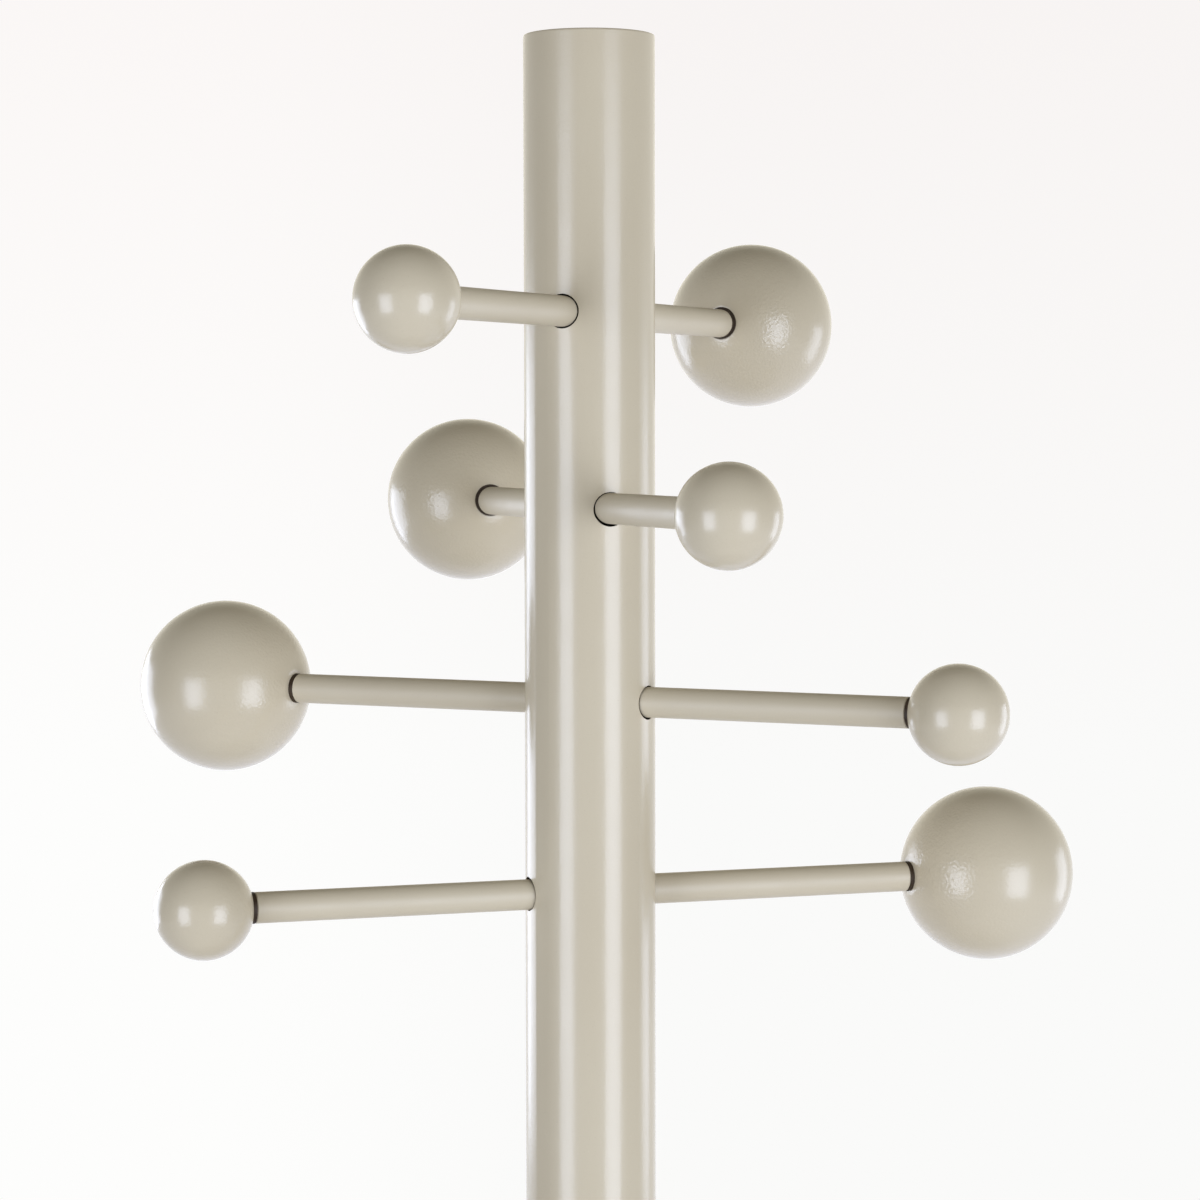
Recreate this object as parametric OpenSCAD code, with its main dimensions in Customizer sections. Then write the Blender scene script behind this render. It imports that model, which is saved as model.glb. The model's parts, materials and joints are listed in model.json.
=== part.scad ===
// Standing coat rack: a round pole on a disc base, with four rods through it that
// each carry a large ball on one end and a small ball on the other.
// Millimetres, +Z up. The origin is on the pole's axis at floor level.

/* [Overall] */
// Height from the floor to the flat top of the pole
total_height = 1750; // [1500:10:1900]

/* [Pole] */
// Outside diameter of both pole tubes
pole_d = 60; // [50:1:80]
// Wall thickness of both pole tubes
pole_wall = 2.5; // [2:0.5:4]
// Length of the lower tube
lower_length = 860; // [600:10:1000]
// Rounding of the rim at the top of the pole
rim_round = 1; // [0.5:0.1:2]
// Depth of the turned cap in the top of the pole
cap_depth = 16; // [8:1:30]
// Length of the spigot that joins the two tubes
coupler_length = 120; // [80:5:200]
// Bore of the spigot
coupler_bore = 42; // [20:1:45]

/* [Arms] */
// Diameter of the arm rods
arm_d = 14; // [10:0.5:14]
// Diameter of the holes for the rods in the pole
arm_hole_d = 15.6; // [14.8:0.1:22]
// Drop of each hole below its rod's centre line, top arm first
hole_drops = [0, 0.4, 0.2, -0.3]; // [-0.4:0.1:0.4]
// Distance from the pole's axis to either end of a rod
arm_reach = 158; // [120:0.1:220]
// Depth of the top arm below the top of the pole
first_drop = 126; // [60:1:200]
// Height between one arm and the next
arm_pitch = 88.5; // [50:0.5:120]
// Turn of each arm's small end from the front, top arm first
arm_turns = [-42.5, 0, 44, -89.5]; // [-180:0.5:180]
// Side of each arm that its locking screw enters from, top arm first
lock_sides = [-1, 1, 1, -1]; // [-1:2:1]

/* [Balls] */
// Diameter of the small balls
small_ball_d = 44.5; // [30:0.5:60]
// Diameter of the large balls
large_ball_d = 82.5; // [60:0.5:110]
// Diameter of the flat on each ball where its washer sits
ball_flat_d = 16; // [14:0.2:20]
// Diameter of the rubber washers between rods and balls
washer_d = 14.2; // [10:0.1:20]
// Thickness of the washers between rods and balls
washer_t = 2; // [1.8:0.1:4]
// Rounding of the washers' outer edges
washer_round = 0.4; // [0.2:0.1:0.9]

/* [Base] */
// Diameter of the base plate
base_d = 380; // [300:5:480]
// Thickness of the base plate
base_t = 12; // [8:1:20]
// Rounding of the base plate's top edge
base_round = 3; // [1:0.5:6]
// Height of the turned plug in the foot of the pole
plug_h = 22; // [15:1:40]

/* [Levelling glides] */
// Number of glides
glide_count = 4; // [3:1:6]
// Diameter of the circle the glides stand on
glide_circle = 330; // [200:5:440]
// Diameter of a glide's foot
glide_d = 34; // [20:1:50]
// Height of a glide's foot when it is screwed right in
glide_h = 7; // [5:0.5:15]
// Depth of the threaded holes for the glides
glide_hole = 10.5; // [8:0.5:18]

/* [Hidden] */
$fn = 96;
fit = 0.05;
nip = 0.01;
pole_bore = pole_d - 2 * pole_wall;
plug_d = pole_bore - 2 * fit;
base_z = glide_h;
pole_z = base_z + base_t;
seam_z = pole_z + lower_length;
arm_count = len(arm_turns);
stud_d = 6;
stud_hole_d = stud_d + 2 * fit;
stud_in_rod = 18;
stud_in_ball = 12;
insert_d = 10;
insert_l = 13;
lock_d = 6;
lock_tip_d = 4.5;
bolt_d = 12;
bolt_l = 30;
bolt_head_d = 18;
bolt_head_h = 7;
base_washer_d = 24;
base_washer_t = 2.5;
counterbore = 5;
dowel_d = 6;
dowel_l = 16;
dowel_r = 18;
glide_stud_d = 8;
glide_floor = 1.5;

paint = [0.77, 0.74, 0.68];
steel = [0.62, 0.63, 0.64];
brass = [0.78, 0.62, 0.32];
black = [0.10, 0.09, 0.08];

function arm_z(i) = total_height - first_drop - i * arm_pitch;
function flat_at(d) = sqrt(pow(d / 2, 2) - pow(ball_flat_d / 2, 2));

// Places its child with +X along an arm, towards the arm's small end.
module on_arm(i) {
    translate([0, 0, arm_z(i)]) rotate([0, 0, arm_turns[i] - 90]) children();
}

// Places its child at one end of an arm, +Z outwards: 1 is small and -1 is large.
module at_end(i, end) {
    on_arm(i) rotate([0, 90 * end, 0]) translate([0, 0, arm_reach]) children();
}

// A shaft up +Z with a chamfer at both ends.
module shaft(d, h, c) {
    rotate_extrude()
        polygon([[0, 0], [d / 2 - c, 0], [d / 2, c], [d / 2, h - c], [d / 2 - c, h], [0, h]]);
}

// A ring up +Z with small chamfers on its outer edges.
module ring(d, bore, h, c) {
    rotate_extrude()
        polygon([[bore / 2, 0], [d / 2 - c, 0], [d / 2, c],
                 [d / 2, h - c], [d / 2 - c, h], [bore / 2, h]]);
}

// A hexagonal socket that opens at z = 0 and goes down.
module hex_socket(across, depth) {
    translate([0, 0, -depth])
        cylinder(d = across / cos(30), h = depth + nip, $fn = 6);
}

module at_glide(n) {
    rotate([0, 0, 45 + (n - 1) * 360 / glide_count])
        translate([glide_circle / 2, 0, 0]) children();
}

// ---- base ----

module base_plate() {
    inner = base_d - 2 * base_round;
    color(paint)
        difference() {
            translate([0, 0, base_z])
                union() {
                    rotate_extrude()
                        polygon([[0, 0], [base_d / 2 - 1, 0], [base_d / 2, 1],
                                 [base_d / 2, base_t - base_round],
                                 [inner / 2, base_t - base_round],
                                 [inner / 2, base_t], [0, base_t]]);
                    translate([0, 0, base_t - base_round])
                        rotate_extrude()
                            translate([inner / 2, 0])
                                intersection() {
                                    circle(r = base_round);
                                    square(base_round);
                                }
                }
            translate([0, 0, base_z - 1]) cylinder(d = bolt_d + 1, h = base_t + 2);
            translate([0, 0, base_z - 1])
                cylinder(d = base_washer_d + 2, h = counterbore + 1);
            translate([0, dowel_r, pole_z - dowel_l / 2 + 1])
                cylinder(d = dowel_d + 2 * fit, h = dowel_l);
            for (n = [1 : glide_count])
                at_glide(n)
                    translate([0, 0, base_z - 1])
                        cylinder(d = glide_stud_d + 4 * fit, h = glide_hole + 1);
        }
}

module foot_plug() {
    color(steel)
        difference() {
            translate([0, 0, pole_z]) shaft(plug_d, plug_h, 1);
            translate([0, 0, pole_z - 1]) cylinder(d = bolt_d + 2 * fit, h = plug_h + 2);
            translate([0, dowel_r, pole_z - 1])
                cylinder(d = dowel_d + 2 * fit, h = dowel_l / 2 + 2.5);
        }
}

module base_bolt() {
    under_head = base_z + counterbore - base_washer_t;
    color(steel)
        difference() {
            union() {
                translate([0, 0, under_head - bolt_head_h])
                    shaft(bolt_head_d, bolt_head_h, 0.8);
                translate([0, 0, under_head - 1]) shaft(bolt_d, bolt_l + 1, 1);
            }
            translate([0, 0, under_head - bolt_head_h])
                rotate([180, 0, 0]) hex_socket(8, 4.5);
        }
}

module base_washer() {
    color(steel)
        translate([0, 0, base_z + counterbore - base_washer_t])
            ring(base_washer_d, bolt_d + 1, base_washer_t, 0.4);
}

module base_dowel() {
    color(steel)
        translate([0, dowel_r, pole_z - dowel_l / 2 + 1]) shaft(dowel_d, dowel_l, 0.6);
}

// ---- pole ----

// Holes at the back for the two set screws that lock the spigot.
module coupler_holes() {
    for (side = [-1, 1])
        translate([0, 0, seam_z + side * coupler_length / 4])
            rotate([-90, 0, 0]) cylinder(d = stud_hole_d, h = pole_d);
}

module lower_pole() {
    color(paint)
        difference() {
            translate([0, 0, pole_z]) shaft(pole_d, lower_length, 0.4);
            translate([0, 0, pole_z - 1]) cylinder(d = pole_bore, h = lower_length + 2);
            coupler_holes();
        }
}

module pole_coupler() {
    color(steel)
        difference() {
            translate([0, 0, seam_z - coupler_length / 2]) shaft(plug_d, coupler_length, 1.5);
            translate([0, 0, seam_z - coupler_length / 2 - 1])
                cylinder(d = coupler_bore, h = coupler_length + 2);
            coupler_holes();
        }
}

module coupler_screws() {
    color(steel)
        for (side = [-1, 1])
            translate([0, 0, seam_z + side * coupler_length / 4])
                rotate([-90, 0, 0])
                    translate([0, 0, pole_d / 2 - 8.4])
                        difference() {
                            shaft(stud_d, 8, 0.6);
                            translate([0, 0, 8]) hex_socket(3, 3);
                        }
}

module upper_pole() {
    h = total_height - seam_z;
    r = pole_d / 2;
    color(paint)
        difference() {
            translate([0, 0, seam_z])
                union() {
                    rotate_extrude()
                        polygon([[0, 0], [r - 0.4, 0], [r, 0.4], [r, h - rim_round],
                                 [r - rim_round, h - rim_round], [r - rim_round, h], [0, h]]);
                    translate([0, 0, h - rim_round])
                        rotate_extrude()
                            translate([r - rim_round, 0])
                                intersection() {
                                    circle(r = rim_round);
                                    square(rim_round);
                                }
                }
            translate([0, 0, seam_z - 1]) cylinder(d = pole_bore, h = h + 2);
            coupler_holes();
            for (i = [0 : arm_count - 1])
                on_arm(i) {
                    translate([0, 0, -hole_drops[i]])
                        rotate([0, 90, 0])
                            cylinder(d = arm_hole_d, h = pole_d + 2, center = true);
                    rotate([-90 * lock_sides[i], 0, 0])
                        cylinder(d = stud_hole_d, h = pole_d);
                }
        }
}

module top_cap() {
    rim = 0.3;
    color(paint)
        translate([0, 0, total_height - cap_depth])
            difference() {
                rotate_extrude()
                    polygon([[0, 0], [plug_d / 2 - 1, 0], [plug_d / 2, 1],
                             [plug_d / 2, cap_depth - rim], [plug_d / 2 - rim, cap_depth],
                             [0, cap_depth]]);
                translate([0, 0, -1]) cylinder(d = plug_d - 7, h = cap_depth - 4 + 1);
            }
}

// ---- arms ----

module arm(i) {
    color(paint)
        on_arm(i)
            difference() {
                rotate([0, 90, 0])
                    translate([0, 0, -arm_reach]) shaft(arm_d, 2 * arm_reach, 0.4);
                for (end = [-1, 1])
                    rotate([0, 90 * end, 0])
                        translate([0, 0, arm_reach - stud_in_rod - 2])
                            cylinder(d = stud_hole_d, h = stud_in_rod + 3);
                rotate([-90 * lock_sides[i], 0, 0])
                    translate([0, 0, 1]) cylinder(d = lock_d + 0.4, h = arm_d);
            }
}

// Dog-point set screws from the back of the pole, one into the middle of each rod.
module arm_lock_screws() {
    body_l = pole_d / 2 - 0.6 - (arm_d / 2 - 1.5);
    color(steel)
        for (i = [0 : arm_count - 1])
            on_arm(i)
                rotate([-90 * lock_sides[i], 0, 0])
                    translate([0, 0, arm_d / 2 - 1.5])
                        difference() {
                            union() {
                                shaft(lock_d, body_l, 0.6);
                                translate([0, 0, -3]) shaft(lock_tip_d, 4, 0.4);
                            }
                            translate([0, 0, body_l]) hex_socket(3, 3.5);
                        }
}

module ball_studs() {
    color(steel)
        for (i = [0 : arm_count - 1], end = [-1, 1])
            at_end(i, end)
                translate([0, 0, -stud_in_rod])
                    shaft(stud_d, stud_in_rod + washer_t + stud_in_ball, 0.6);
}

module ball_inserts() {
    r = insert_d / 2 - fit;
    color(brass)
        for (i = [0 : arm_count - 1], end = [-1, 1])
            at_end(i, end)
                translate([0, 0, washer_t + 0.3])
                    rotate_extrude()
                        polygon([[stud_hole_d / 2, 0], [r - 0.4, 0], [r, 0.4], [r, 4],
                                 [r - 0.6, 4.5], [r - 0.6, 5.5], [r, 6], [r, 8],
                                 [r - 0.6, 8.5], [r - 0.6, 9.5], [r, 10],
                                 [r, insert_l - 0.6], [r - 0.6, insert_l],
                                 [stud_hole_d / 2, insert_l]]);
}

module ball_washers() {
    bore = stud_d + 0.4;
    wide = (washer_d - bore) / 2;
    color(black)
        for (i = [0 : arm_count - 1], end = [-1, 1])
            at_end(i, end)
                rotate_extrude()
                    translate([bore / 2, 0])
                        union() {
                            square([wide - washer_round, washer_t]);
                            translate([0, washer_round])
                                square([wide, washer_t - 2 * washer_round]);
                            for (z = [washer_round, washer_t - washer_round])
                                translate([wide - washer_round, z]) circle(r = washer_round);
                        }
}

// A ball with a flat for its washer and a blind bore for its threaded insert.
module ball(i, end, d) {
    flat = washer_t;
    color(paint)
        at_end(i, end)
            difference() {
                translate([0, 0, flat + flat_at(d)]) sphere(d = d);
                translate([0, 0, flat - 5]) cylinder(d = 2 * ball_flat_d, h = 5);
                translate([0, 0, flat - 1]) cylinder(d = insert_d, h = insert_l + 2.5);
            }
}

// ---- levelling glides ----

module glide_foot(n) {
    r = glide_d / 2;
    hub = 9;
    top = glide_h - 1.2;
    s = glide_stud_d / 2 + fit;
    color(black)
        at_glide(n)
            rotate_extrude()
                polygon([[0, 0], [r - 1.2, 0], [r, 1.2], [r, top - 2], [r - 2.5, top],
                         [hub, top], [hub, glide_h], [s, glide_h], [s, glide_floor + 3],
                         [s + 2.5, glide_floor + 3], [s + 2.5, glide_floor],
                         [0, glide_floor]]);
}

module glide_stud(n) {
    top = base_z + glide_hole - 0.5;
    s = glide_stud_d / 2;
    color(steel)
        at_glide(n)
            rotate_extrude()
                polygon([[0, glide_floor], [s + 2.5, glide_floor],
                         [s + 2.5, glide_floor + 3 - fit], [s, glide_floor + 3 - fit],
                         [s, top - 0.8], [s - 0.8, top], [0, top]]);
}

base_plate();
foot_plug();
base_bolt();
base_washer();
base_dowel();
lower_pole();
pole_coupler();
coupler_screws();
upper_pole();
top_cap();
arm(0);  // arm_1
arm(1);  // arm_2
arm(2);  // arm_3
arm(3);  // arm_4
arm_lock_screws();
ball_studs();
ball_inserts();
ball_washers();
ball(0, -1, large_ball_d);  // large_ball_1
ball(1, -1, large_ball_d);  // large_ball_2
ball(2, -1, large_ball_d);  // large_ball_3
ball(3, -1, large_ball_d);  // large_ball_4
ball(0, 1, small_ball_d);  // small_ball_1
ball(1, 1, small_ball_d);  // small_ball_2
ball(2, 1, small_ball_d);  // small_ball_3
ball(3, 1, small_ball_d);  // small_ball_4
glide_foot(1);  // glide_1_foot
glide_foot(2);  // glide_2_foot
glide_foot(3);  // glide_3_foot
glide_foot(4);  // glide_4_foot
glide_stud(1);  // glide_1_stud
glide_stud(2);  // glide_2_stud
glide_stud(3);  // glide_3_stud
glide_stud(4);  // glide_4_stud
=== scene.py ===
"""Standing coat rack: looks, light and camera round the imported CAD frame."""
import json
import math

import bmesh
import bpy
from mathutils import Matrix, Vector, noise


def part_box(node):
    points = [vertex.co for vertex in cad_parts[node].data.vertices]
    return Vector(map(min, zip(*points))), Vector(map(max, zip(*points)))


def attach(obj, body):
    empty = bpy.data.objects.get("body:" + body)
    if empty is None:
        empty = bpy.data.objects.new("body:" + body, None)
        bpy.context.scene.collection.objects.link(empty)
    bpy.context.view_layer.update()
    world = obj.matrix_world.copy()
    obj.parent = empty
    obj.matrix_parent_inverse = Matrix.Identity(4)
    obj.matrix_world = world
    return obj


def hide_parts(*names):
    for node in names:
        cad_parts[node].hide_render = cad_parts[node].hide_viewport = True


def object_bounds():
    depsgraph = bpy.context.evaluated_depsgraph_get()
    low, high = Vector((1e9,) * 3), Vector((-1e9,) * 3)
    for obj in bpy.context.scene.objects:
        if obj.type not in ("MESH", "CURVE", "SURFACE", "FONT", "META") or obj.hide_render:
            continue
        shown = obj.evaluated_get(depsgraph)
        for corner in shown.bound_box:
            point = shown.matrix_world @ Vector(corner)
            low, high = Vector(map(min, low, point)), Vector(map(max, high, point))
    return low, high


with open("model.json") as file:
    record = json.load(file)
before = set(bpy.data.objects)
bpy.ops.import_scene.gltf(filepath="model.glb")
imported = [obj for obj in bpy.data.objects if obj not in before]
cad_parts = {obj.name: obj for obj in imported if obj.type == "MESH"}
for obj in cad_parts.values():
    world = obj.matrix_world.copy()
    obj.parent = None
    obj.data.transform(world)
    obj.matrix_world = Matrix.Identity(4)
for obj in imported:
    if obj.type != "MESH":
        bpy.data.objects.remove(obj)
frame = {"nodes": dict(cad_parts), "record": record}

cad_box = [list(c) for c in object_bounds()]
scene = bpy.context.scene
nodes = frame["nodes"]

# ---------------------------------------------------------------- camera
# The second arm's small ball points to -Y, and the camera stands to the left of it.
CAMERA_TURN = math.radians(18.214)   # from -Y towards -X
CAMERA_DISTANCE = 1.52945            # from the pole's axis
CAMERA_HEIGHT = 1.5694
CAMERA_DOWN = math.radians(2.8633)
CAMERA_ROLL = math.radians(-0.0961)
CAMERA_YAW = math.radians(0.1721)
FOCAL_LENGTH = 100.2                 # in millimetres, as the sensor's width
SENSOR = 36.0
CLIP = (0.05, 60.0)


def bearing(turn):
    """The level direction from the pole's axis at a turn, in radians, from the camera's side.

    0 points to the camera, and a positive turn goes to the right of the picture."""
    a = turn - CAMERA_TURN
    return Vector((math.sin(a), -math.cos(a), 0.0))


def make_camera():
    data = bpy.data.cameras.new("camera")
    data.sensor_width = SENSOR
    data.lens = FOCAL_LENGTH
    data.clip_start, data.clip_end = CLIP
    cam = bpy.data.objects.new("camera", data)
    scene.collection.objects.link(cam)
    spin = Matrix.Rotation(-CAMERA_TURN, 3, "Z")
    level = spin @ Vector((math.sin(CAMERA_YAW), math.cos(CAMERA_YAW), 0.0))
    look = level * math.cos(CAMERA_DOWN) - Vector((0.0, 0.0, math.sin(CAMERA_DOWN)))
    right = spin @ Vector((math.cos(CAMERA_YAW), -math.sin(CAMERA_YAW), 0.0))
    up = right.cross(look)
    c, s = math.cos(CAMERA_ROLL), math.sin(CAMERA_ROLL)
    right, up = right * c + up * s, up * c - right * s
    place = bearing(0.0) * CAMERA_DISTANCE
    turn = Matrix((right, up, -look)).transposed().to_4x4()
    cam.matrix_world = Matrix.Translation((place.x, place.y, CAMERA_HEIGHT)) @ turn
    scene.camera = cam


make_camera()
scene.view_settings.view_transform = "Standard"
scene.view_settings.look = "None"


# ---------------------------------------------------------------- node helpers
class Nodes:
    """A node tree that is written as expressions. Colours are given as (r, g, b)."""

    def __init__(self, tree):
        self.tree = tree
        tree.nodes.clear()

    def feed(self, socket, value):
        """Link an output to the socket, or set the socket's own value."""
        if isinstance(value, bpy.types.NodeSocket):
            self.tree.links.new(value, socket)
        elif socket.type == "RGBA":
            socket.default_value = (*value, 1.0)
        else:
            socket.default_value = value

    def add(self, kind, inputs=None, **settings):
        n = self.tree.nodes.new(kind)
        for k, v in settings.items():
            setattr(n, k, v)
        for k, v in (inputs or {}).items():
            self.feed(n.inputs[k], v)
        return n

    def math(self, operation, a, b, clamp=False):
        n = self.add("ShaderNodeMath", {0: a, 1: b}, operation=operation, use_clamp=clamp)
        return n.outputs[0]

    def vector(self, operation, a, b=(0.0, 0.0, 0.0)):
        """The outputs of vector arithmetic: "Vector", or "Value" where the result is a number."""
        return self.add("ShaderNodeVectorMath", {0: a, 1: b}, operation=operation).outputs

    def toward(self, vector, direction):
        """The vector's part along a fixed direction."""
        return self.vector("DOT_PRODUCT", vector, tuple(direction))["Value"]

    def in_plan(self, vector):
        return self.vector("MULTIPLY", vector, (1.0, 1.0, 0.0))["Vector"]

    def length(self, vector):
        return self.vector("LENGTH", vector)["Value"]

    def unit(self, vector):
        return self.vector("NORMALIZE", vector)["Vector"]

    def height(self, vector):
        return self.add("ShaderNodeSeparateXYZ", {0: vector}).outputs["Z"]

    def spread(self, value, low, high, to_low=0.0, to_high=1.0, smooth=False):
        """The value's range from low to high, spread over to_low to to_high and clamped."""
        n = self.add("ShaderNodeMapRange",
                     {"Value": value, "From Min": low, "From Max": high,
                      "To Min": to_low, "To Max": to_high},
                     interpolation_type="SMOOTHSTEP" if smooth else "LINEAR")
        return n.outputs["Result"]

    def mix(self, factor, a, b):
        """Colour a where factor is 0, and colour b where it is 1."""
        n = self.add("ShaderNodeMix", {0: factor, 6: a, 7: b}, data_type="RGBA")
        return n.outputs[2]

    def either(self, factor, a, b):
        """Shader a where factor is 0, and shader b where it is 1."""
        return self.add("ShaderNodeMixShader", {0: factor, 1: a.outputs[0], 2: b.outputs[0]})

    def coords(self):
        return self.add("ShaderNodeTexCoord").outputs["Object"]

    def own(self, attribute):
        """A value that the mesh itself holds at each vertex."""
        return self.add("ShaderNodeAttribute", attribute_name=attribute).outputs["Fac"]

    def noise(self, vector, scale, detail=2.0, rough=0.5):
        n = self.add("ShaderNodeTexNoise",
                     {"Vector": vector, "Scale": scale, "Detail": detail, "Roughness": rough})
        return n.outputs["Fac"]

    def stretched(self, vector, factors):
        n = self.add("ShaderNodeMapping", {"Vector": vector, "Scale": factors})
        return n.outputs["Vector"]

    def bump(self, height, distance):
        n = self.add("ShaderNodeBump", {"Height": height, "Strength": 1.0, "Distance": distance})
        return n.outputs["Normal"]

    def is_camera_ray(self):
        return self.add("ShaderNodeLightPath").outputs["Is Camera Ray"]

    def output(self, shader, kind="Material"):
        self.add("ShaderNodeOutput" + kind, {0: shader.outputs[0]})

    def surface(self, colour, rough, normal, others):
        """End a material's tree with a surface; others holds the shader's remaining inputs."""
        inputs = {"Base Color": colour, "Roughness": rough, "Normal": normal, **others}
        self.output(self.add("ShaderNodeBsdfPrincipled", inputs))


def material(name):
    m = bpy.data.materials.new(name)
    m.use_nodes = True
    return m, Nodes(m.node_tree)


# ---------------------------------------------------------------- materials
PAINT = (0.547, 0.482, 0.354)
PAINT_DARK = (0.528, 0.461, 0.335)
FLECK_DARK = (0.42, 0.36, 0.27)
FLECK_PALE = (0.64, 0.58, 0.47)
# Brown-black painted shade for the rod holes in the pole, the rods inside it and the far balls'
# seats
RECESS_SHADE = (0.040, 0.025, 0.013)
RUBBER = (0.030, 0.017, 0.008)
RUBBER_WORN = (0.056, 0.037, 0.020)
STEEL = (0.56, 0.56, 0.57)
STEEL_DULL = (0.40, 0.40, 0.41)
BRASS = (0.72, 0.53, 0.24)
BRASS_DULL = (0.52, 0.37, 0.15)
PLASTIC = (0.020, 0.020, 0.021)
PLASTIC_DUSTY = (0.040, 0.039, 0.038)

# Scales of the noises, per metre
PAINT_CLOUD = 9.0        # the slow change of the paint's colour
PAINT_FLECK = 1400.0     # its flecks
PAINT_PATCH = 60.0       # the change of its gloss
PAINT_SPRAY = 26.0       # where its orange peel is deeper or shallower
PAINT_LINES = 420.0      # its fine lines along Z
LINES_LONG = (1.0, 1.0, 0.02)   # how those lines are drawn out
WAVE_LENGTH = 7.0        # the paint's slow waves, in pitches of its orange peel
RUBBER_CLOUD = 300.0
RUBBER_GRAIN = 2500.0
METAL_CLOUD = 120.0
METAL_LINES = 900.0
LATHE_LINES = (1.0, 1.0, 9.0)   # how the lines on metal are packed along Z
PLASTIC_CLOUD = 90.0
PLASTIC_GRAIN = 1800.0
# Depths of the relief on the small parts, in metres
RUBBER_DEPTH = 0.00001
METAL_DEPTH = 0.00001
PLASTIC_DEPTH = 0.00002

POLE_R = max(v.co.x for v in nodes["upper_pole"].data.vertices)
POLE_SKIN = 0.0004       # how far into a hole in the pole the paint's colour reaches before the painted shade
RIM = 0.004              # the part of the pole's top that keeps the paint's colour inside, without the painted shade
SHADE_ROUGH = 0.5         # how much rougher the places with painted shade are than the paint


def paint_colour(t, at):
    """Warm greige with a slow change, and with dark and pale flecks."""
    cloud = t.noise(at, PAINT_CLOUD, 3.0, 0.55)
    fleck = t.noise(at, PAINT_FLECK, 1.0, 0.6)
    base = t.mix(t.spread(cloud, 0.35, 0.65), PAINT, PAINT_DARK)
    base = t.mix(t.spread(fleck, 0.66, 0.80, 0.0, 0.30), base, FLECK_DARK)
    return t.mix(t.spread(fleck, 0.34, 0.20, 0.0, 0.20), base, FLECK_PALE)


def paint_relief(t, at, peel, pitch, wave, streak, strength):
    """The height of the orange peel, the slow waves and, with streak, the fine lines."""
    fine = t.noise(at, 1.0 / pitch, 1.5, 0.45)
    slow = t.noise(at, 1.0 / (pitch * WAVE_LENGTH), 2.0, 0.5)
    spray = t.spread(t.noise(at, PAINT_SPRAY, 1.0, 0.5), 0.42, 0.60, 0.8, 1.5, smooth=True)
    if strength is not None:
        spray = t.math("MULTIPLY", spray, strength)
    height = t.math("ADD", t.math("MULTIPLY", t.math("MULTIPLY", fine, peel), spray),
                    t.math("MULTIPLY", slow, wave))
    if streak:
        lines = t.noise(t.stretched(at, LINES_LONG), PAINT_LINES, 2.0, 0.6)
        height = t.math("ADD", height, t.math("MULTIPLY", lines, streak))
    return height


def inside_pole(t, at, top):
    """1 below the height top and deeper than the pole's skin, where the painted shade goes, and 0
    elsewhere.
    """
    deep = t.math("LESS_THAN", t.length(t.in_plan(at)), POLE_R - POLE_SKIN)
    return t.math("MULTIPLY", deep, t.math("LESS_THAN", t.height(at), top))


def paint(name, rough, peel, pitch, wave, streak=0.0, shade_below=None, ball=False):
    """Opaque greige lacquer.

    peel is the depth of its orange peel and pitch the distance between its bumps, wave is the
    depth of its slow waves and streak that of fine lines along Z, all in metres. Given a top
    height, what lies inside the pole below it is given brown-black painted shade. A ball's own
    "seat" attribute says where it has that painted shade, and its "peel" attribute how strong its
    orange peel is."""
    m, t = material(name)
    at = t.coords()
    base = paint_colour(t, at)
    gloss = t.spread(t.noise(at, PAINT_PATCH, 3.0, 0.6), 0.3, 0.7, rough * 0.92, rough * 1.10)
    height = paint_relief(t, at, peel, pitch, wave, streak, t.own("peel") if ball else None)
    # Painted shade: brown-black colour and a rougher gloss where the mask is 1, in the recesses
    # round the rods
    if ball or shade_below is not None:
        shade_mask = t.own("seat") if ball else inside_pole(t, at, shade_below)
        base = t.mix(shade_mask, base, RECESS_SHADE)
        gloss = t.math("ADD", gloss, t.math("MULTIPLY", shade_mask, SHADE_ROUGH), clamp=True)
    t.surface(base, gloss, t.bump(height, 1.0), {"IOR": 1.5})
    return m


def rubber(name):
    m, t = material(name)
    at = t.coords()
    cloud = t.noise(at, RUBBER_CLOUD, 3.0, 0.6)
    base = t.mix(t.spread(cloud, 0.35, 0.7), RUBBER, RUBBER_WORN)
    gloss = t.spread(cloud, 0.3, 0.7, 0.46, 0.60)
    normal = t.bump(t.noise(at, RUBBER_GRAIN, 2.0, 0.6), RUBBER_DEPTH)
    t.surface(base, gloss, normal, {"Specular IOR Level": 0.25})
    return m


def metal(name, colour, dull, rough):
    m, t = material(name)
    at = t.coords()
    lines = t.noise(t.stretched(at, LATHE_LINES), METAL_LINES, 3.0, 0.6)
    cloud = t.noise(at, METAL_CLOUD, 3.0, 0.6)
    base = t.mix(t.spread(cloud, 0.3, 0.75), colour, dull)
    gloss = t.spread(lines, 0.3, 0.7, rough * 0.8, rough * 1.25)
    t.surface(base, gloss, t.bump(lines, METAL_DEPTH), {"Metallic": 1.0})
    return m


def moulded(name):
    m, t = material(name)
    at = t.coords()
    grain = t.noise(at, PLASTIC_GRAIN, 2.0, 0.6)
    base = t.mix(t.noise(at, PLASTIC_CLOUD, 3.0, 0.6), PLASTIC, PLASTIC_DUSTY)
    gloss = t.spread(grain, 0.3, 0.7, 0.45, 0.62)
    t.surface(base, gloss, t.bump(grain, PLASTIC_DEPTH), {"IOR": 1.49})
    return m


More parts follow.
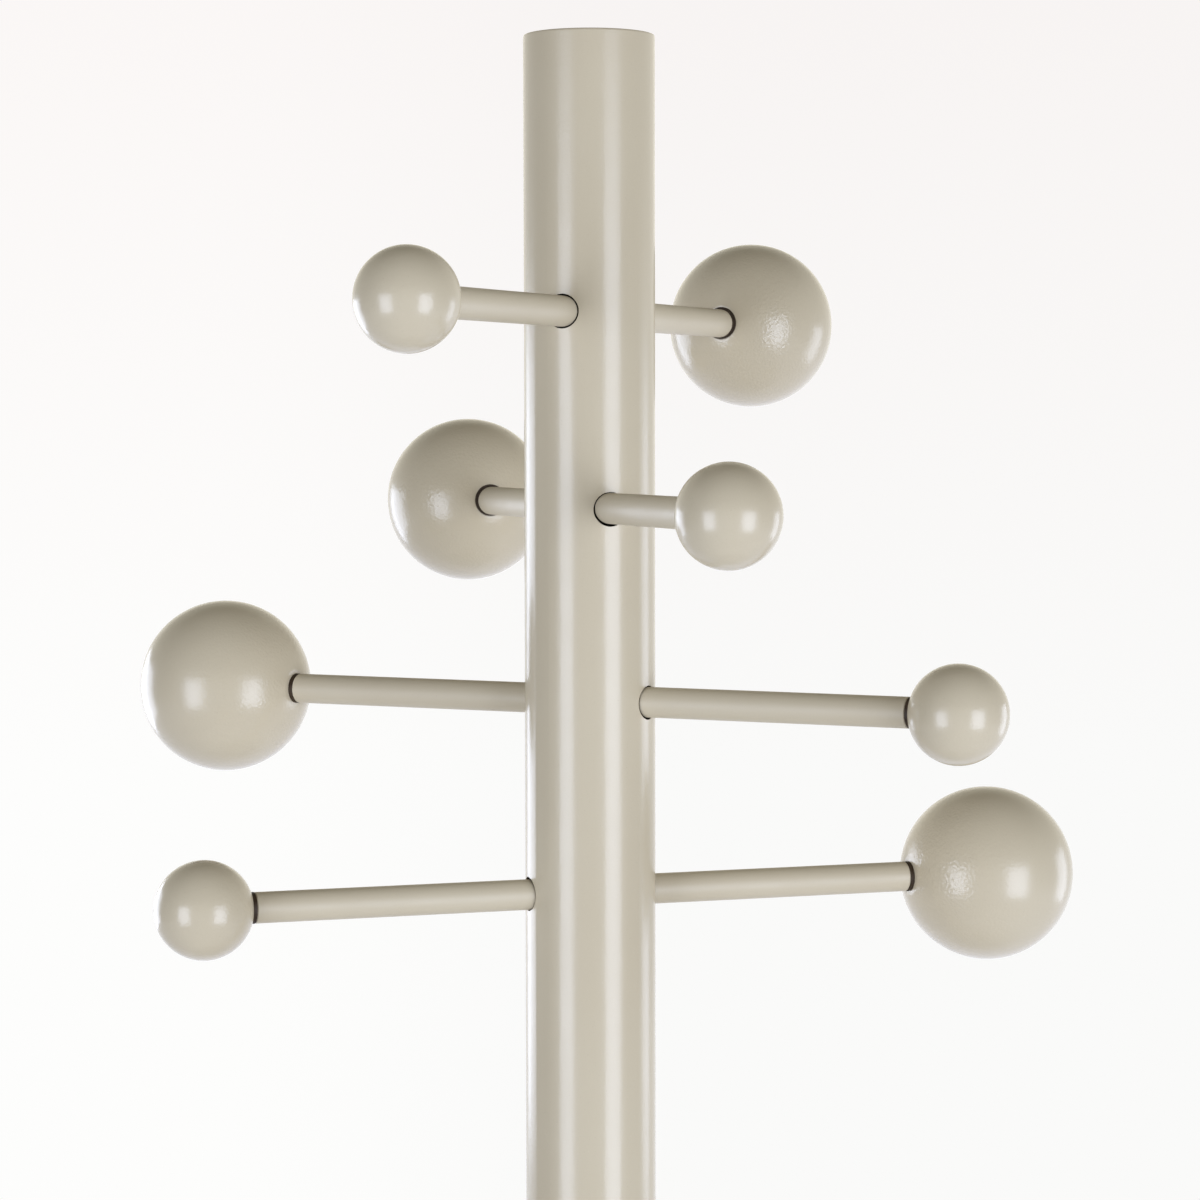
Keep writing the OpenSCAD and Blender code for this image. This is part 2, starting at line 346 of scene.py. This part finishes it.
TOP = cad_box[1][2]
LOOKS = {
    # The pole's and the arms' paints are painted brown-black as shade inside the pole, below the
    # height given
    "pole_paint": paint("pole_paint", rough=0.23, peel=0.000030, pitch=0.0016, wave=0.00004,
                        streak=0.000024, shade_below=TOP - RIM),
    "arm_paint": paint("arm_paint", rough=0.48, peel=0.000010, pitch=0.0014, wave=0.00002,
                       shade_below=TOP),
    "base_paint": paint("base_paint", rough=0.32, peel=0.000014, pitch=0.0016, wave=0.00004),
    "ball_lacquer": paint("ball_lacquer", rough=0.225, peel=0.000084, pitch=0.00145,
                          wave=0.00004, ball=True),
    "black_washer": rubber("black_washer"),
    "steel_fixing": metal("steel_fixing", STEEL, STEEL_DULL, 0.32),
    "brass_insert": metal("brass_insert", BRASS, BRASS_DULL, 0.28),
    "glide_plastic": moulded("glide_plastic"),
}


def dress():
    slots = {s["node"]: s["material_slot"] for s in frame["record"]["subparts"]}
    for name, obj in nodes.items():
        obj.data.materials.clear()
        obj.data.materials.append(LOOKS[slots[name]])


dress()

# ---------------------------------------------------------------- balls
BALL_AROUND = 160
BALL_RINGS = 80
BORE_R = 0.005
BORE_DEEP = 0.0145
SEAT_ROUND = 0.0003     # soft edge of the lacquer round a washer's seat
SEAT_RINGS = 5          # rings of the profile that belong to the bore and the seat
SEAT_SLACK = {"large_ball_1": 0.0003, "large_ball_2": 0.0004}   # seats raised by this much, with their bore and seat in brown-black painted shade
PEEL_SEAT = {"large": 1.7, "small": 1.4}   # strength of the orange peel on the seat's side,
PEEL_FAR = 0.40                            # and on the far side
PEEL_MIDDLE = 0.2       # how far along that change a ball's middle is,
PEEL_RISE = 1.3         # and how much of it one radius takes
TURNING = 0.00004       # how far a turned ball is from true
TURNING_SIZE = 0.020    # width of one such error
TURNED_FROM = 0.98      # only what lies further out than this, in radii, is the ball's own face
SMALL_SEED = 10         # sets a small ball's errors apart from the large one's on its arm
SHARP = math.radians(40)


def smooth(x):
    """0 up to 0, 1 from 1 on, and an even rise between."""
    x = min(max(x, 0.0), 1.0)
    return x * x * (3.0 - 2.0 * x)


def ball_profile(seat, middle, radius):
    """Points (distance along the arm, distance from its line), from the bore to the far pole."""
    seat_r = math.sqrt(radius ** 2 - (middle - seat) ** 2)
    start = math.atan2(seat_r, seat - middle) - SEAT_ROUND / radius
    points = [(seat + BORE_DEEP, 0.0), (seat + BORE_DEEP, BORE_R), (seat, BORE_R),
              (seat, seat_r - SEAT_ROUND),
              (seat + SEAT_ROUND * 0.25, seat_r - SEAT_ROUND * 0.15)]
    for i in range(BALL_RINGS):
        a = start * (1.0 - i / BALL_RINGS)
        points.append((middle + radius * math.cos(a), radius * math.sin(a)))
    points.append((middle + radius, 0.0))
    return points


def lathe(bm, profile, level, way):
    """Turn a profile about the line along way at level, and return its rings of vertices."""
    side = Vector((-way.y, way.x, 0.0))
    rings = []
    for along, out in profile:
        if out == 0.0:
            rings.append([bm.verts.new(level + way * along)])
            continue
        turns = (2 * math.pi * k / BALL_AROUND for k in range(BALL_AROUND))
        rings.append([bm.verts.new(level + way * along + side * (out * math.cos(a))
                                   + Vector((0.0, 0.0, out * math.sin(a)))) for a in turns])
    for near, far in zip(rings, rings[1:]):
        for k in range(BALL_AROUND):
            n = (k + 1) % BALL_AROUND
            corners = (near[k % len(near)], near[n % len(near)],
                       far[n % len(far)], far[k % len(far)])
            bm.faces.new(dict.fromkeys(corners))   # three corners where a ring is one point
    return rings


def turned_ball(name, twin, seed):
    """A lathe-turned lacquered ball in the place of a CAD ball; twin is the arm's other ball."""
    lo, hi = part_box(name)
    other_lo, other_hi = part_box(twin)
    way = (lo + hi - other_lo - other_hi) / 2
    way.z = 0.0
    way.normalize()
    level = Vector((0.0, 0.0, (lo.z + hi.z) / 2))
    radius = max(hi - lo) / 2
    along = [v.co.dot(way) for v in nodes[name].data.vertices]
    seat, middle = min(along), max(along) - radius
    bm = bmesh.new()
    # where the ball is given brown-black painted shade
    shade_mask = bm.verts.layers.float.new("seat")
    peel = bm.verts.layers.float.new("peel")
    rings = lathe(bm, ball_profile(seat, middle, radius), level, way)
    core = level + way * middle
    peel_more = PEEL_SEAT[name.split("_")[0]] - PEEL_FAR
    for v in bm.verts:
        out = v.co - core
        v[peel] = PEEL_FAR + peel_more * smooth(PEEL_MIDDLE - PEEL_RISE * out.dot(way) / radius)
        if out.length > radius * TURNED_FROM:
            sway = noise.noise(v.co / TURNING_SIZE + Vector((seed, 0, 0)))
            v.co = core + out * (1.0 + TURNING * sway / radius)
    # On these balls the bore and the seat are raised and given painted shade, a dark crescent
    # round the washer
    if name in SEAT_SLACK:
        for ring in rings[:SEAT_RINGS]:
            for v in ring:
                v[shade_mask] = 1.0
                v.co.z += SEAT_SLACK[name]
    bmesh.ops.recalc_face_normals(bm, faces=bm.faces)
    for f in bm.faces:
        f.smooth = True
    mesh = bpy.data.meshes.new(name + "_turned")
    bm.to_mesh(mesh)
    bm.free()
    mesh.set_sharp_from_angle(angle=SHARP)
    piece = bpy.data.objects.new(name + "_turned", mesh)
    scene.collection.objects.link(piece)
    mesh.materials.append(LOOKS["ball_lacquer"])
    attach(piece, "rack")
    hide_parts(name)


ARMS = [int(n.split("_")[1]) for n in sorted(nodes) if n[:4] == "arm_" and n[4:].isdigit()]
for arm in ARMS:
    large, small = f"large_ball_{arm}", f"small_ball_{arm}"
    turned_ball(large, small, arm)
    turned_ball(small, large, arm + SMALL_SEED)

# ---------------------------------------------------------------- studio
# Upright softboxes that face the pole: turn in degrees as for bearing, distance from the axis,
# bottom, top, width and radiance
SOFTBOXES = {
    "key_left": (-42.0, 2.8, 0.20, 1.94, 1.24, 5.9),
    "key_right": (40.0, 2.6, 0.20, 1.94, 1.30, 6.05),
    "panel_left": (-128.0, 1.5, 0.93, 1.66, 0.92, 3.9),
    "panel_right": (113.0, 1.55, 0.84, 1.61, 0.58, 3.0),
}
SOFTBOX_TINT = (0.93, 1.0, 1.18)


def softbox(name, turn, distance, bottom, top, width, radiance):
    data = bpy.data.lights.new(name, "AREA")
    data.shape = "RECTANGLE"
    data.size, data.size_y = width, top - bottom
    data.energy = radiance * math.pi * width * (top - bottom)
    data.color = SOFTBOX_TINT
    light = bpy.data.objects.new(name, data)
    scene.collection.objects.link(light)
    way = bearing(math.radians(turn))
    light.location = (*(way * distance).xy, (bottom + top) / 2)
    light.rotation_euler = (-way).to_track_quat("-Z", "Y").to_euler()
    light.visible_camera = False


for box_name, box in SOFTBOXES.items():
    softbox(box_name, *box)

# The room round the lights, seen by the rack but not by the camera. In each direction: its turn
# in degrees, and its level on the floor, near the horizon and higher up. ROOM_TOP is overhead.
ROOM = {"front": (0.0, 0.30, 0.55, 0.05), "right": (90.0, 0.80, 0.30, 0.42),
        "back": (180.0, 1.20, 1.28, 0.70), "left": (-90.0, 0.45, 0.06, 0.18)}
ROOM_TOP = 0.21
# Elevations in degrees over which the room goes from floor to horizon, then higher up, then to
# the top, and over which its tint goes from the floor's to the upper one
TO_HORIZON = (-24, -8)
TO_HIGHER = (12, 28)
TO_TOP = (33, 46)
TO_UPPER_TINT = (-24, 20)
FLOOR_TINT = (0.97, 1.0, 1.12)
UPPER_TINT = (1.05, 1.0, 0.84)

# The plain backdrop that only the camera sees. RISE and SIDE are parts of a direction whose
# length is 1.
BACKDROP_LOW = (0.956, 0.956, 0.948)
BACKDROP_HIGH = (0.935, 0.906, 0.896)
BACKDROP_RISE = (-0.10, 0.12)    # its Z where the low colour begins and ends to turn into the high
BACKDROP_LEFT = 1.028            # how much brighter the backdrop is on the left,
BACKDROP_SIDE = (0.02, -0.12)    # and its part to the right where that begins and is complete


def room_levels(t, way):
    """The room's three levels, as sockets, in the direction way, whose length is 1 in plan."""
    totals = [0.0, 0.0, 0.0]
    for turn, *levels in ROOM.values():
        facing = t.math("MAXIMUM", t.toward(way, bearing(math.radians(turn))), 0.0)
        facing = t.math("MULTIPLY", facing, facing)
        for k, level in enumerate(levels):
            totals[k] = t.math("ADD", totals[k], t.math("MULTIPLY", facing, level))
    return totals


def make_world():
    """Near-white all round for the camera, and the room's levels for what is lit."""
    world = bpy.data.worlds.new("studio")
    world.use_nodes = True
    scene.world = world
    t = Nodes(world.node_tree)
    way = t.add("ShaderNodeTexCoord").outputs["Generated"]
    height = t.height(way)
    floor, horizon, above = room_levels(t, t.unit(t.in_plan(way)))

    def rise(elevations):
        """0 below the first elevation and 1 above the second."""
        low, high = (math.sin(math.radians(e)) for e in elevations)
        return t.spread(height, low, high, smooth=True)

    past_floor, past_horizon, past_higher = rise(TO_HORIZON), rise(TO_HIGHER), rise(TO_TOP)
    bands = ((t.math("SUBTRACT", past_floor, past_horizon), horizon),
             (t.math("SUBTRACT", past_horizon, past_higher), above),
             (past_higher, ROOM_TOP))
    level = t.math("MULTIPLY", t.math("SUBTRACT", 1.0, past_floor), floor)
    for band, radiance in bands:
        level = t.math("ADD", level, t.math("MULTIPLY", band, radiance))
    tint = t.mix(rise(TO_UPPER_TINT), FLOOR_TINT, UPPER_TINT)
    lit = t.add("ShaderNodeBackground", {"Color": tint, "Strength": level})

    shade = t.mix(t.spread(height, *BACKDROP_RISE), BACKDROP_LOW, BACKDROP_HIGH)
    side = t.toward(way, bearing(math.radians(90.0)))
    lift = t.spread(side, *BACKDROP_SIDE, 1.0, BACKDROP_LEFT, smooth=True)
    seen = t.add("ShaderNodeBackground", {"Color": shade, "Strength": lift})
    t.output(t.either(t.is_camera_ray(), lit, seen), "World")


make_world()

FLOOR_R = 2.6
FLOOR_DROP = 0.0002   # keeps the floor clear of the feet that stand on it
FLOOR_PALE = (0.80, 0.77, 0.70)
FLOOR_PALER = (0.82, 0.79, 0.72)
FLOOR_CLOUD = 3.0     # scale of its noise, per metre
GLOW = (0.5, 1.1)     # distances from the pole over which the floor turns into a light,
FADE = (0.15, 1.5)    # and over which, for the camera, it vanishes into the backdrop


def make_floor():
    """A plain pale floor. Away from the rack the camera sees the backdrop through it, and it
    lights the rack at the room's floor level."""
    mesh = bpy.data.meshes.new("floor")
    bm = bmesh.new()
    bmesh.ops.create_circle(bm, cap_ends=True, segments=96, radius=FLOOR_R)
    bm.to_mesh(mesh)
    bm.free()
    floor = bpy.data.objects.new("floor", mesh)
    scene.collection.objects.link(floor)
    floor.location.z = -FLOOR_DROP
    m, t = material("floor_pale")
    at = t.coords()
    base = t.mix(t.noise(at, FLOOR_CLOUD, 3.0), FLOOR_PALE, FLOOR_PALER)
    plain = t.add("ShaderNodeBsdfPrincipled", {"Base Color": base, "Roughness": 0.7})
    radius = t.length(t.in_plan(at))
    level = room_levels(t, t.unit(t.in_plan(at)))[0]
    glow = t.add("ShaderNodeEmission", {"Color": FLOOR_TINT, "Strength": level})
    clear = t.add("ShaderNodeBsdfTransparent")
    lighting = t.either(t.spread(radius, *GLOW, smooth=True), plain, glow)
    looking = t.either(t.spread(radius, *FADE, smooth=True), plain, clear)
    t.output(t.either(t.is_camera_ray(), lighting, looking))
    mesh.materials.append(m)


make_floor()
